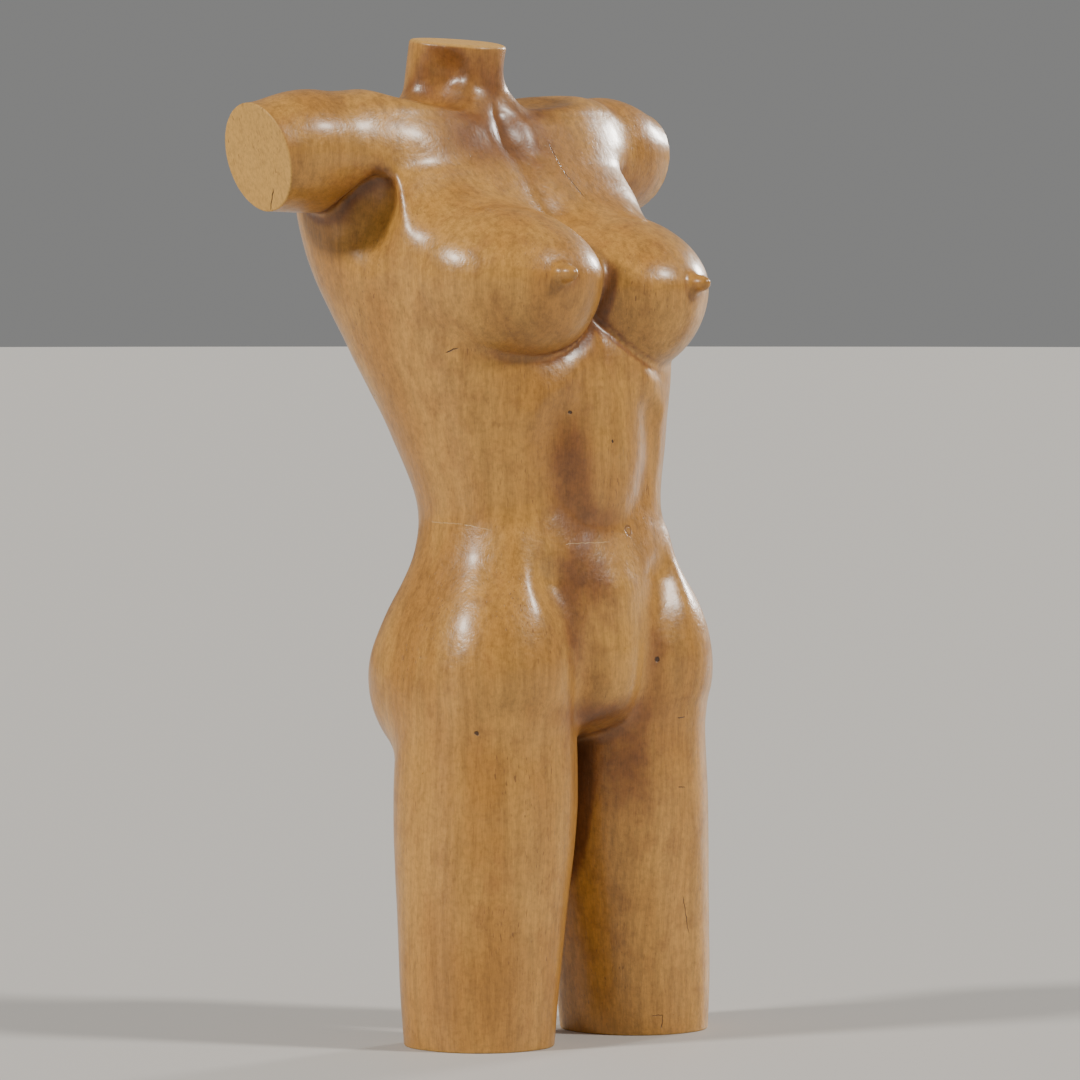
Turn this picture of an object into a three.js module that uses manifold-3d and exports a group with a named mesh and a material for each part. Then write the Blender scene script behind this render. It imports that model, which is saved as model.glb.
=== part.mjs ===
// Torso of a standing woman, carved from one block of wood: no head, the neck and both arms cut
// off flat, and the legs cut off flat through the thighs, on which the figure stands.
//
// Frame: the figure faces -Y, its right side is -X, and +Z is up. The origin is under the middle
// of the bounding box, on the plane that both thighs stand on. All sizes are in millimetres.
//
// The body is one implicit form: a rule that is negative inside the wood and positive outside.
// Rounded unions join the trunk, hips, thighs, breasts, arms and neck, shallow touches model
// the muscles, and a grid then turns the form into facets. The five flat ends are cut afterwards.

import * as THREE from 'three';
import { mergeVertices } from 'three/addons/utils/BufferGeometryUtils.js';
import Module from 'manifold-3d';

// ---- Driving dimensions ----

// Trunk sections from the crotch up to the shoulders. Each is an oval with the given half width,
// and with its own depth in front of and behind its middle. Squareness 2 is an ellipse.
// [height, middle in y, half width, front depth, back depth, squareness]
const TRUNK_SECTIONS = [
  [148, 8, 54, 38, 40, 2.5],
  [168, 8, 69, 48, 49, 2.8],
  [190, 7, 77, 49, 54, 2.8],
  [210, 7, 77, 48, 54.5, 2.8],
  [228, 7, 73.5, 47.5, 55, 2.6],
  [262, 9, 66, 46.5, 56, 2.2],
  [300, 16.5, 72, 53.5, 63, 2.3],
  [345, 31, 82, 62, 69, 2.7],
  [395, 46, 91, 49.5, 77, 3.0],
  [420, 55, 92, 45, 72, 3.0],
  [440, 61, 88, 36, 62, 2.9],
  [462, 66, 78, 25, 46, 2.5],
];
const SHOULDER = { height: 467, rounding: 14 };
const CROTCH = { height: 150, rounding: 8 };

// The lower edge of the belly, and the slope of the underside that runs back from it.
const BELLY_EDGE = { y: -42, z: 165, normal: [-0.514, -0.857], rounding: 5 };

// Thigh sections from the cut up into the pelvis.
// [height, middle in x, middle in y, half width, half depth]
const THIGH_SECTIONS = [
  [0, 55, 0, 36, 37],
  [20, 54.5, 0.5, 37.5, 38.5],
  [60, 51.5, 2, 40.5, 41],
  [125, 46.5, 4, 44.8, 44.8],
  [150, 46, 4, 44, 44],
  [180, 47, 2, 42, 42],
  [215, 45, 0, 34, 34],
];
const THIGH_SQUARENESS = 2.15;
const THIGH_TOP = { height: 212, rounding: 20 };

// A form's blend is the width over which it melts into what it joins, or is scooped from.
const HIP = { at: [50, -7, 188], radii: [37.5, 38, 43], blend: 8 };
const BUTTOCK = { at: [35, 28, 181], radii: [50, 50, 52], blend: 10 };
const BETWEEN_THIGHS_BLEND = 3;

// A blend that changes with height: its width below one height and above another.
const THIGH_BLEND = { below: 5, above: 18, from: 165, to: 225 };
const ARM_BLEND = { below: 5, above: 18, from: 424, to: 456 };
const SIDE_HOLLOW_BLEND = { below: 20, above: 6, from: 396, to: 424 };

// The two sides differ a little, as they do on a figure carved by hand.
const SIDES = [
  { side: -1, breastLift: 2, armLift: 0, armRadius: 30 },
  { side: 1, breastLift: -4, armLift: -3, armRadius: 29 },
];

// Each breast is a ball, with a second one beside it towards the armpit. Its blend's heights
// are measured from its middle.
const BREAST = { at: [37.5, -9.2, 380], radius: 42.5, sideAt: [47, 2, 380], sideRadius: 40, blend: 10 };
const BREAST_BLEND = { below: 3, above: 17, from: -6, to: 28 };
const NIPPLE = { at: [46.8, -53.5, 382], radii: [4.3, 6.5, 4.3], facets: [12, 9] };

// How much of a breast's height above or below its middle goes into each change of its shape.
// The share grows over the softness: higher up the ball is flatter, further out and further
// back, and lower down it is a little flatter.
const BREAST_HANG = { softness: 12, flatter: 0.24, outwards: 0.1, backwards: 0.44, lowerFlatter: 0.06 };

const ARM = {
  root: [66, 66, 443],
  rootReach: 32,
  rootRounding: 28,
  end: [131, 79, 441],
  taper: 3,
  backTurn: 8,
  downTurn: 13,
};
const DELTOID = { at: [104, 73, 446], radii: [36, 27, 28], blend: 8 };

// The armpit leans towards the neck by this share of its height.
const ARMPIT = { at: [82, 47, 412], radii: [21, 24, 25], lean: 0.5, blend: 6 };
const SIDE_HOLLOW = { at: [101, 43, 420], radii: [25, 20, 25] };

const NECK = {
  root: [0, 75, 440],
  top: [0, 70.5, 499],
  rootRadius: 29,
  topRadius: 25,
  rounding: 8,
  tilt: 0.1,
  blend: 10,
};
const NECK_TENDON = { from: [9, 46, 455], to: [21, 62, 486], radius: 3.8, reach: 3, rounding: 5, blend: 12 };
const COLLARBONE = { from: [19, 42, 452], to: [80, 57, 458], radius: 4.4, reach: 3, rounding: 6, blend: 14 };
const COLLAR_HOLLOW = { at: [40, 57, 482], radii: [24, 12, 14], blend: 14 };

// Shallow touches on the skin: a rise (or a groove, when negative) along a line drawn on the
// front or the back in x and z, fading over its width. Both sides get the mirrored line.
const FRONT_TOUCHES = [
  { rise: -0.6, width: 6, line: [[0, 350], [0, 310]] },
  { rise: 1.6, width: 20, line: [[0, 330], [0, 280]] },
  { rise: -3.2, width: 10, line: [[34, 312], [33, 290], [27, 270], [15, 259], [0, 257]] },
  { rise: 2.3, width: 8, line: [[4, 350], [24, 337], [44, 314]] },
  { rise: 5, width: 16, line: [[0, 224], [0, 184]] },
  { rise: -6.2, width: 11.5, line: [[38, 228], [34, 205], [30, 188], [25, 168]] },
  { rise: 1.6, width: 8, line: [[55, 250], [52, 214]] },
  { rise: -2.5, width: 10, line: [[0, 456], [0, 405]] },
];
const BACK_TOUCHES = [
  { rise: -3.5, width: 7, line: [[0, 440], [0, 235]] },
  { rise: 2.5, width: 17, line: [[44, 412], [38, 378]] },
  { rise: -1.5, width: 9, line: [[17, 232], [15, 226]] },
];
const TOUCH_FADE = 12;
const THIGH_CREASE = { rise: -0.8, width: 5, line: [[46, 165], [74, 168]], fade: 14 };

// Facets: the grid step across the body, and the steps up its height.
const GRID_STEP = 8.9;
const HEIGHT_STEPS = [
  { upTo: 138, step: 16 },
  { upTo: 330, step: 10 },
  { upTo: 430, step: 7.2 },
  { upTo: 525, step: 8 },
];
const GRID_BOX = { x: [-160, 160], y: [-75, 145], z: [-30, 525] };

// The form runs on past every flat end by the overcut, until the blocks cut it off.
const OVERCUT = 12;
const OVERCUT_ROUNDING = 4;
const LIMB_BLOCK = 90;
const BASE_BLOCK = 300;

const WOOD = { color: 0xc8964f, roughness: 0.42, metalness: 0 };

// ---- Small maths ----

const clamp = (value, low, high) => Math.min(Math.max(value, low), high);

const fade = (value, from, to) => {
  const t = clamp((value - from) / (to - from), 0, 1);
  return t * t * (3 - 2 * t);
};

// The smaller of two values with the corner between them rounded over the given width.
const roundedMin = (a, b, width) => {
  const h = clamp(0.5 + (0.5 * (b - a)) / width, 0, 1);
  return b + (a - b) * h - width * h * (1 - h);
};

const roundedMax = (a, b, width) => -roundedMin(-a, -b, width);

const widthAt = (height, { below, above, from, to }) => below + (above - below) * fade(height, from, to);

// A smooth curve through the rows of a table, read at one height.
function readSections(rows, height) {
  const z = clamp(height, rows[0][0], rows[rows.length - 1][0]);
  let i = 0;
  while (i < rows.length - 2 && z > rows[i + 1][0]) i += 1;
  const span = rows[i + 1][0] - rows[i][0];
  const t = (z - rows[i][0]) / span;
  const slope = (k, column) => {
    const before = rows[Math.max(k - 1, 0)];
    const here = rows[k];
    const after = rows[Math.min(k + 1, rows.length - 1)];
    if (before === here) return (after[column] - here[column]) / (after[0] - here[0]);
    if (after === here) return (here[column] - before[column]) / (here[0] - before[0]);
    const below = (here[column] - before[column]) / (here[0] - before[0]);
    const above = (after[column] - here[column]) / (after[0] - here[0]);
    return (below * (after[0] - here[0]) + above * (here[0] - before[0])) / (after[0] - before[0]);
  };
  const values = [];
  for (let column = 1; column < rows[i].length; column += 1) {
    const start = rows[i][column];
    const end = rows[i + 1][column];
    const startSlope = slope(i, column) * span;
    const endSlope = slope(i + 1, column) * span;
    values.push(
      start * (2 * t ** 3 - 3 * t ** 2 + 1) + startSlope * (t ** 3 - 2 * t ** 2 + t)
      + end * (3 * t ** 2 - 2 * t ** 3) + endSlope * (t ** 3 - t ** 2),
    );
  }
  return values;
}

// ---- Forms: each gives the rough distance from a point, negative inside ----

function oval(x, y, halfWidth, halfDepth, squareness) {
  const u = Math.abs(x) / halfWidth;
  const v = Math.abs(y) / halfDepth;
  const size = (u ** squareness + v ** squareness + 1e-12) ** (1 / squareness);
  const gradient = Math.hypot(u ** (squareness - 1) / halfWidth, v ** (squareness - 1) / halfDepth)
    * size ** (1 - squareness);
  return (size - 1) / gradient;
}

function ellipsoid(x, y, z, { at: [cx, cy, cz], radii: [rx, ry, rz] }) {
  const near = Math.hypot((x - cx) / rx, (y - cy) / ry, (z - cz) / rz) + 1e-6;
  const far = Math.hypot((x - cx) / rx ** 2, (y - cy) / ry ** 2, (z - cz) / rz ** 2) + 1e-9;
  return (near * (near - 1)) / far;
}

// A round rod from one point to another, reaching past both. Its flat ends have rounded rims.
function rod(x, y, z, { from, to, radii, reaches, roundings }) {
  const axis = [to[0] - from[0], to[1] - from[1], to[2] - from[2]];
  const length = Math.hypot(...axis);
  const reach = [x - from[0], y - from[1], z - from[2]];
  const along = (reach[0] * axis[0] + reach[1] * axis[1] + reach[2] * axis[2]) / length;
  const across = Math.sqrt(Math.max(reach[0] ** 2 + reach[1] ** 2 + reach[2] ** 2 - along ** 2, 0));
  const side = across - radii[0] - (radii[1] - radii[0]) * clamp(along / length, 0, 1);
  const started = roundedMax(side, -along - reaches[0], roundings[0]);
  return roundedMax(started, along - length - reaches[1], roundings[1]);
}

// A thin even rod, as under a tendon or a bone.
const cordRod = (x, y, z, { from, to, radius, reach, rounding }) => rod(x, y, z, {
  from,
  to,
  radii: [radius, radius],
  reaches: [reach, reach],
  roundings: [rounding, rounding],
});

// The rise of one touch at a point of the front or back.
function touchRise(x, z, { rise, width, line }) {
  let nearest = Infinity;
  for (let i = 0; i < line.length - 1; i += 1) {
    const [x0, z0] = line[i];
    const dx = line[i + 1][0] - x0;
    const dz = line[i + 1][1] - z0;
    const t = clamp(((x - x0) * dx + (z - z0) * dz) / (dx * dx + dz * dz), 0, 1);
    nearest = Math.min(nearest, (x - x0 - t * dx) ** 2 + (z - z0 - t * dz) ** 2);
  }
  return rise * Math.exp(-nearest / width ** 2);
}

const sumOfTouches = (x, z, touches) => touches.reduce((sum, touch) => sum + touchRise(x, z, touch), 0);

// ---- The body, part by part ----

function trunk(x, y, z) {
  const [middle, halfWidth, front, back, squareness] = readSections(TRUNK_SECTIONS, z);
  const depth = y - middle;
  let form = oval(x, depth, halfWidth, depth < 0 ? front : back, squareness);
  form = roundedMax(form, z - SHOULDER.height, SHOULDER.rounding);
  const across = Math.abs(x);
  form -= fade(-depth, 0, TOUCH_FADE) * sumOfTouches(across, z, FRONT_TOUCHES);
  form -= fade(depth, 0, TOUCH_FADE) * sumOfTouches(across, z, BACK_TOUCHES);
  const underside = BELLY_EDGE.normal[0] * (y - BELLY_EDGE.y) + BELLY_EDGE.normal[1] * (z - BELLY_EDGE.z);
  form = roundedMax(form, underside, BELLY_EDGE.rounding);
  return roundedMax(form, CROTCH.height - z, CROTCH.rounding);
}

function thigh(x, y, z) {
  const [middleX, middleY, halfWidth, halfDepth] = readSections(THIGH_SECTIONS, z);
  let form = oval(x - middleX, y - middleY, halfWidth, halfDepth, THIGH_SQUARENESS);
  form = roundedMax(form, z - THIGH_TOP.height, THIGH_TOP.rounding);
  form = roundedMax(form, -z - OVERCUT, OVERCUT_ROUNDING);
  form = roundedMin(form, ellipsoid(x, y, z, HIP), HIP.blend);
  form = roundedMin(form, ellipsoid(x, y, z, BUTTOCK), BUTTOCK.blend);
  return form - touchRise(x, z, THIGH_CREASE) * fade(-y, 0, THIGH_CREASE.fade);
}

function addArm(body, x, y, z, { armLift, armRadius }) {
  const lifted = z - armLift;
  const leaning = x + ARMPIT.lean * (lifted - ARMPIT.at[2]);
  const hollow = ellipsoid(leaning, y, lifted, ARMPIT);
  const straight = rod(x, y, lifted, {
    from: ARM.root,
    to: ARM.end,
    radii: [armRadius, armRadius - ARM.taper],
    reaches: [ARM.rootReach, OVERCUT],
    roundings: [ARM.rootRounding, OVERCUT_ROUNDING],
  });
  const hollowed = roundedMax(straight, -hollow, ARMPIT.blend);
  const deltoid = roundedMax(ellipsoid(x, y, lifted, DELTOID), -hollow, ARMPIT.blend);
  const arm = roundedMin(hollowed, deltoid, DELTOID.blend);
  const scooped = roundedMax(body, -ellipsoid(x, y, z, SIDE_HOLLOW), widthAt(z, SIDE_HOLLOW_BLEND));
  return roundedMin(scooped, arm, widthAt(z, ARM_BLEND));
}

function addNeck(body, x, y, z) {
  const column = rod(x, y, z, {
    from: NECK.root,
    to: NECK.top,
    radii: [NECK.rootRadius, NECK.topRadius],
    reaches: [0, OVERCUT],
    roundings: [NECK.rounding, OVERCUT_ROUNDING],
  });
  const neck = roundedMin(column, cordRod(Math.abs(x), y, z, NECK_TENDON), NECK_TENDON.blend);
  return roundedMin(body, neck, NECK.blend);
}

function addCollarbone(body, x, y, z) {
  const ridged = roundedMin(body, cordRod(x, y, z, COLLARBONE), COLLARBONE.blend);
  return roundedMax(ridged, -ellipsoid(x, y, z, COLLAR_HOLLOW), COLLAR_HOLLOW.blend);
}

// The upper half is flatter and leans back towards the collarbone, and the lower half hangs.
function addBreast(body, x, y, z, { breastLift }) {
  const { softness, flatter, outwards, backwards, lowerFlatter } = BREAST_HANG;
  const height = z - BREAST.at[2] - breastLift;
  const lean = height > 0 ? height ** 2 / (height + softness) : 0;
  const hang = height < 0 ? height ** 2 / (softness - height) : 0;
  const rise = height + flatter * lean + lowerFlatter * hang;
  const ball = ([cx, cy], radius) => (
    Math.hypot(x - cx - outwards * lean, y - cy - backwards * lean, rise) - radius
  );
  const breast = roundedMin(
    ball(BREAST.at, BREAST.radius),
    ball(BREAST.sideAt, BREAST.sideRadius),
    BREAST.blend,
  );
  return roundedMin(body, breast, widthAt(height, BREAST_BLEND));
}

function body(x, y, z) {
  const across = Math.abs(x);
  const thighs = roundedMin(thigh(x, y, z), thigh(-x, y, z), BETWEEN_THIGHS_BLEND);
  let form = roundedMin(trunk(x, y, z), thighs, widthAt(z, THIGH_BLEND));
  for (const side of SIDES) form = addArm(form, x * side.side, y, z, side);
  form = addNeck(form, x, y, z);
  form = addCollarbone(form, across, y, z);
  for (const side of SIDES) form = addBreast(form, x * side.side, y, z, side);
  return form;
}

// ---- From the form to facets ----

// Grid lines that cover a range in equal steps, as near as possible to the given step.
function gridLines(low, high, step) {
  const count = Math.round((high - low) / step);
  return Array.from({ length: count + 1 }, (_, i) => low + ((high - low) * i) / count);
}

function heightLines() {
  let low = GRID_BOX.z[0];
  const lines = [low];
  for (const { upTo, step } of HEIGHT_STEPS) {
    lines.push(...gridLines(low, upTo, step).slice(1));
    low = upTo;
  }
  return lines;
}

// A grid of points with the body's value at each. A grid place is [i, j, k] along x, y and z.
function sampleBody() {
  const lines = [gridLines(...GRID_BOX.x, GRID_STEP), gridLines(...GRID_BOX.y, GRID_STEP), heightLines()];
  const counts = lines.map((line) => line.length);
  const index = ([i, j, k]) => (k * counts[1] + j) * counts[0] + i;
  const point = (place) => place.map((n, axis) => lines[axis][n]);
  const values = new Float64Array(counts[0] * counts[1] * counts[2]);
  const grid = { counts, index, point, values, value: (place) => values[index(place)] };
  for (const place of places(grid, 0)) values[index(place)] = body(...point(place));
  return grid;
}

// All grid places, or with 1 as the border those that have a neighbour above on every axis.
function* places({ counts }, border) {
  for (let k = 0; k < counts[2] - border; k += 1) {
    for (let j = 0; j < counts[1] - border; j += 1) {
      for (let i = 0; i < counts[0] - border; i += 1) yield [i, j, k];
    }
  }
}

const AXES = [[1, 0, 0], [0, 1, 0], [0, 0, 1]];

const shifted = (place, ...steps) => place.map((n, axis) => steps.reduce((sum, step) => sum + step[axis], n));

const isInside = (grid, place) => grid.value(place) < 0;

// Where the skin would pass twice through one face of a grid cell, as in a narrow crease, the
// corner nearest to the skin changes sides, so that no edge is shared by four facets.
function openCreases(grid) {
  const barelyOff = 0.01;
  let changes = 1;
  while (changes > 0) {
    changes = 0;
    for (const place of places(grid, 1)) {
      for (const [p, q] of [[0, 1], [1, 2], [2, 0]]) {
        const ring = [
          place,
          shifted(place, AXES[p]),
          shifted(place, AXES[p], AXES[q]),
          shifted(place, AXES[q]),
        ];
        const [a, b, c, d] = ring.map((corner) => isInside(grid, corner));
        if (a !== c || b !== d || a === b) continue;
        ring.sort((m, n) => Math.abs(grid.value(m)) - Math.abs(grid.value(n)));
        grid.values[grid.index(ring[0])] = isInside(grid, ring[0]) ? barelyOff : -barelyOff;
        changes += 1;
      }
    }
  }
}

// Moves a point onto the skin along the steepest way there.
function settle(point) {
  const reach = 0.25;
  const longestMove = 3;
  const passes = 8;
  let settled = point;
  for (let pass = 0; pass < passes; pass += 1) {
    const here = settled;
    const slope = AXES.map((axis) => {
      const ahead = here.map((coordinate, n) => coordinate + reach * axis[n]);
      const behind = here.map((coordinate, n) => coordinate - reach * axis[n]);
      return (body(...ahead) - body(...behind)) / (2 * reach);
    });
    const steepness = slope[0] ** 2 + slope[1] ** 2 + slope[2] ** 2;
    const move = clamp(body(...here) / Math.max(steepness, 0.2), -longestMove, longestMove);
    settled = here.map((coordinate, n) => coordinate - move * slope[n]);
  }
  return settled;
}

// The twelve edges of a grid cell, as pairs of corners counted from its lowest corner.
const CELL_EDGES = AXES.flatMap((along, axis) => {
  const others = AXES.filter((_, n) => n !== axis);
  const starts = [[0, 0, 0], others[0], others[1], shifted(others[0], others[1])];
  return starts.map((start) => [start, shifted(start, along)]);
});

// One vertex in every grid cell that the skin passes through: the middle of the places where
// it crosses the cell's edges, moved onto the skin.
function cellVertices(grid) {
  const positions = [];
  const vertexOf = new Map();
  for (const place of places(grid, 1)) {
    const crossings = [];
    for (const [start, end] of CELL_EDGES) {
      const [from, to] = [shifted(place, start), shifted(place, end)];
      if (isInside(grid, from) === isInside(grid, to)) continue;
      const t = grid.value(from) / (grid.value(from) - grid.value(to));
      const [low, high] = [grid.point(from), grid.point(to)];
      crossings.push(low.map((coordinate, n) => coordinate + (high[n] - coordinate) * t));
    }
    if (crossings.length === 0) continue;
    const total = (axis) => crossings.reduce((sum, crossing) => sum + crossing[axis], 0);
    const middle = [total(0), total(1), total(2)].map((sum) => sum / crossings.length);
    vertexOf.set(grid.index(place), positions.length);
    positions.push(settle(middle));
  }
  return { positions, vertexOf };
}

// Two triangles across every grid edge that the skin crosses, between the vertices of the four
// cells around it, split along the shorter diagonal.
function facetBody() {
  const grid = sampleBody();
  openCreases(grid);
  const { positions, vertexOf } = cellVertices(grid);
  const span = (m, n) => Math.hypot(...[0, 1, 2].map((axis) => positions[m][axis] - positions[n][axis]));
  const triangles = [];
  for (const place of places(grid, 1)) {
    for (const [axis, p, q] of [[0, 1, 2], [1, 2, 0], [2, 0, 1]]) {
      if (isInside(grid, place) === isInside(grid, shifted(place, AXES[axis]))) continue;
      const [backP, backQ] = [p, q].map((n) => AXES[n].map((step) => -step));
      const around = [shifted(place, backP, backQ), shifted(place, backQ), place, shifted(place, backP)];
      const quad = around.map((cell) => vertexOf.get(grid.index(cell)));
      if (!isInside(grid, place)) quad.reverse();
      if (span(quad[0], quad[2]) > span(quad[1], quad[3])) quad.push(quad.shift());
      triangles.push(quad[0], quad[1], quad[2], quad[0], quad[2], quad[3]);
    }
  }
  const geometry = new THREE.BufferGeometry();
  geometry.setAttribute('position', new THREE.Float32BufferAttribute(positions.flat(), 3));
  geometry.setIndex(triangles);
  return geometry;
}

// ---- Solids: joining the nipples and cutting the flat ends ----

const wasm = await Module();
wasm.setup();

function solidOf(geometry) {
  const bare = geometry.clone();
  bare.deleteAttribute('normal');
  bare.deleteAttribute('uv');
  const merged = bare.index ? mergeVertices(bare, 1e-5) : mergeVertices(bare);
  return new wasm.Manifold(new wasm.Mesh({
    numProp: 3,
    vertProperties: new Float32Array(merged.attributes.position.array),
    triVerts: new Uint32Array(merged.index.array),
  }));
}

function geometryOf(solid) {
  const mesh = solid.getMesh();
  const geometry = new THREE.BufferGeometry();
  geometry.setAttribute('position', new THREE.Float32BufferAttribute(mesh.vertProperties, 3));
  geometry.setIndex(Array.from(mesh.triVerts));
  return geometry;
}

function nippleSolid({ side, breastLift }) {
  const geometry = new THREE.SphereGeometry(1, ...NIPPLE.facets);
  geometry.scale(...NIPPLE.radii);
  geometry.translate(side * NIPPLE.at[0], NIPPLE.at[1], NIPPLE.at[2] + breastLift);
  return solidOf(geometry);
}

// A block with the middle of one face at the point, standing out along the outward direction.
function cuttingBlock(point, outward, width) {
  const geometry = new THREE.BoxGeometry(width, width, width);
  geometry.translate(0, 0, width / 2);
  const direction = new THREE.Vector3(...outward).normalize();
  const turn = new THREE.Quaternion().setFromUnitVectors(new THREE.Vector3(0, 0, 1), direction);
  geometry.applyQuaternion(turn);
  geometry.translate(...point);
  return solidOf(geometry);
}

function armCut({ side, armLift }) {
  const back = THREE.MathUtils.degToRad(ARM.backTurn);
  const down = THREE.MathUtils.degToRad(ARM.downTurn);
  const outward = [side * Math.cos(back) * Math.cos(down), Math.sin(back) * Math.cos(down), -Math.sin(down)];
  return cuttingBlock([side * ARM.end[0], ARM.end[1], ARM.end[2] + armLift], outward, LIMB_BLOCK);
}

function torsoSolid() {
  let solid = solidOf(facetBody());
  for (const side of SIDES) solid = solid.add(nippleSolid(side));
  for (const side of SIDES) solid = solid.subtract(armCut(side));
  solid = solid.subtract(cuttingBlock(NECK.top, [0, -NECK.tilt, 1], LIMB_BLOCK));
  return solid.subtract(cuttingBlock([0, 0, 0], [0, 0, -1], BASE_BLOCK));
}

const geometry = geometryOf(torsoSolid());
geometry.computeBoundingBox();
const middle = geometry.boundingBox.getCenter(new THREE.Vector3());
geometry.translate(-middle.x, -middle.y, -geometry.boundingBox.min.z);
geometry.computeVertexNormals();

const torso = new THREE.Mesh(geometry, new THREE.MeshStandardMaterial(WOOD));
torso.name = 'torso';

const sculpture = new THREE.Group();
sculpture.add(torso);

export default sculpture;
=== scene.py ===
import math

import bmesh
import bpy
import numpy as np
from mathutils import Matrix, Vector


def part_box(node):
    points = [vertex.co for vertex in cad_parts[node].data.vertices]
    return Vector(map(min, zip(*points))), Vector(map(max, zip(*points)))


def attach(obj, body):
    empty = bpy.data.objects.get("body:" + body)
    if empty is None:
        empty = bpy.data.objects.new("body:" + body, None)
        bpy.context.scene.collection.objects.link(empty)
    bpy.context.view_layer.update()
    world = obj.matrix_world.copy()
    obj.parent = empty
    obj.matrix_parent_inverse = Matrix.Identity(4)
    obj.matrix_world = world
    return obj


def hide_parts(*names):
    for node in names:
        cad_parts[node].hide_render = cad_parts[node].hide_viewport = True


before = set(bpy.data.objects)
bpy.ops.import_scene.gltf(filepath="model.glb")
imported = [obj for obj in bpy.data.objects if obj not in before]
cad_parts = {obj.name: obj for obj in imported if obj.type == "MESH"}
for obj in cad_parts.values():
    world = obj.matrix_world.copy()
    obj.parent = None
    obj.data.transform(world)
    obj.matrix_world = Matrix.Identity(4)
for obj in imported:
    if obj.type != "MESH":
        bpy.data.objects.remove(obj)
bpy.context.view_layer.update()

# A woman's torso carved from one block of pale wood, oiled and waxed to a satin finish. The
# figure faces -Y and its right side is -X. The form is worked out in millimetres, with the same
# dimensions as the part's own source, and is brought into the part's box in metres at the end.

# ---- Dimensions of the carving, in millimetres ----

# [height, middle in y, half width, front depth, back depth, squareness]
TRUNK_SECTIONS = np.array([
    [148, 8, 54, 38, 40, 2.5],
    [168, 8, 69, 48, 49, 2.8],
    [190, 7, 77, 49, 54, 2.8],
    [210, 7, 77, 48, 54.5, 2.8],
    [228, 7, 73.5, 47.5, 55, 2.6],
    [262, 9, 66, 46.5, 56, 2.2],
    [300, 16.5, 72, 53.5, 63, 2.3],
    [345, 31, 82, 62, 69, 2.7],
    [395, 46, 91, 49.5, 77, 3.0],
    [420, 55, 92, 45, 72, 3.0],
    [440, 61, 88, 36, 62, 2.9],
    [462, 66, 78, 25, 46, 2.5],
])
SHOULDER = {"height": 467, "rounding": 14}
CROTCH = {"height": 150, "rounding": 8}
BELLY_EDGE = {"y": -42, "z": 165, "normal": (-0.514, -0.857), "rounding": 5}

# [height, middle in x, middle in y, half width, half depth]
THIGH_SECTIONS = np.array([
    [0, 55, 0, 36, 37],
    [20, 54.5, 0.5, 37.5, 38.5],
    [60, 51.5, 2, 40.5, 41],
    [125, 46.5, 4, 44.8, 44.8],
    [150, 46, 4, 44, 44],
    [180, 47, 2, 42, 42],
    [215, 45, 0, 34, 34],
])
THIGH_SQUARENESS = 2.15
THIGH_TOP = {"height": 212, "rounding": 20}
HIP = {"at": (50, -7, 188), "radii": (37.5, 38, 43), "blend": 8}
BUTTOCK = {"at": (35, 28, 181), "radii": (50, 50, 52), "blend": 10}
BETWEEN_THIGHS_BLEND = 3

# A blend that changes with height: its width below one height and above another.
THIGH_BLEND = {"below": 5, "above": 18, "from": 165, "to": 225}
ARM_BLEND = {"below": 5, "above": 18, "from": 424, "to": 456}
SIDE_HOLLOW_BLEND = {"below": 20, "above": 6, "from": 396, "to": 424}

SIDES = (
    {"side": -1, "breast_lift": 2, "arm_lift": 0, "arm_radius": 30},
    {"side": 1, "breast_lift": -4, "arm_lift": -3, "arm_radius": 29},
)
BREAST = {"at": (37.5, -9.2, 380), "radius": 42.5, "side_at": (47, 2, 380), "side_radius": 40, "blend": 10}
BREAST_BLEND = {"below": 3, "above": 17, "from": -6, "to": 28}
BREAST_HANG = {"softness": 12, "flatter": 0.24, "outwards": 0.1, "backwards": 0.44, "lower_flatter": 0.06}
NIPPLE = {"at": (46.8, -53.5, 382), "radii": (4.3, 6.5, 4.3), "blend": 5}

ARM = {
    "root": (66, 66, 443), "root_reach": 32, "root_rounding": 28, "end": (131, 79, 441),
    "taper": 3, "back_turn": 8, "down_turn": 13,
}
DELTOID = {"at": (104, 73, 446), "radii": (36, 27, 28), "blend": 8}
ARMPIT = {"at": (82, 47, 412), "radii": (21, 24, 25), "blend": 6, "lean": 0.5}
SIDE_HOLLOW = {"at": (101, 43, 420), "radii": (25, 20, 25)}

NECK = {
    "root": (0, 75, 440), "top": (0, 70.5, 499), "root_radius": 29, "top_radius": 25,
    "rounding": 8, "tilt": 0.1, "blend": 10,
}
NECK_TENDON = {
    "from": (9, 46, 455), "to": (21, 62, 486), "radius": 3.8, "reach": 3, "rounding": 5, "blend": 12,
}
COLLARBONE = {
    "from": (19, 42, 452), "to": (80, 57, 458), "radius": 4.4, "reach": 3, "rounding": 6, "blend": 14,
}
COLLAR_HOLLOW = {"at": (40, 57, 482), "radii": (24, 12, 14), "blend": 14}

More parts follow.
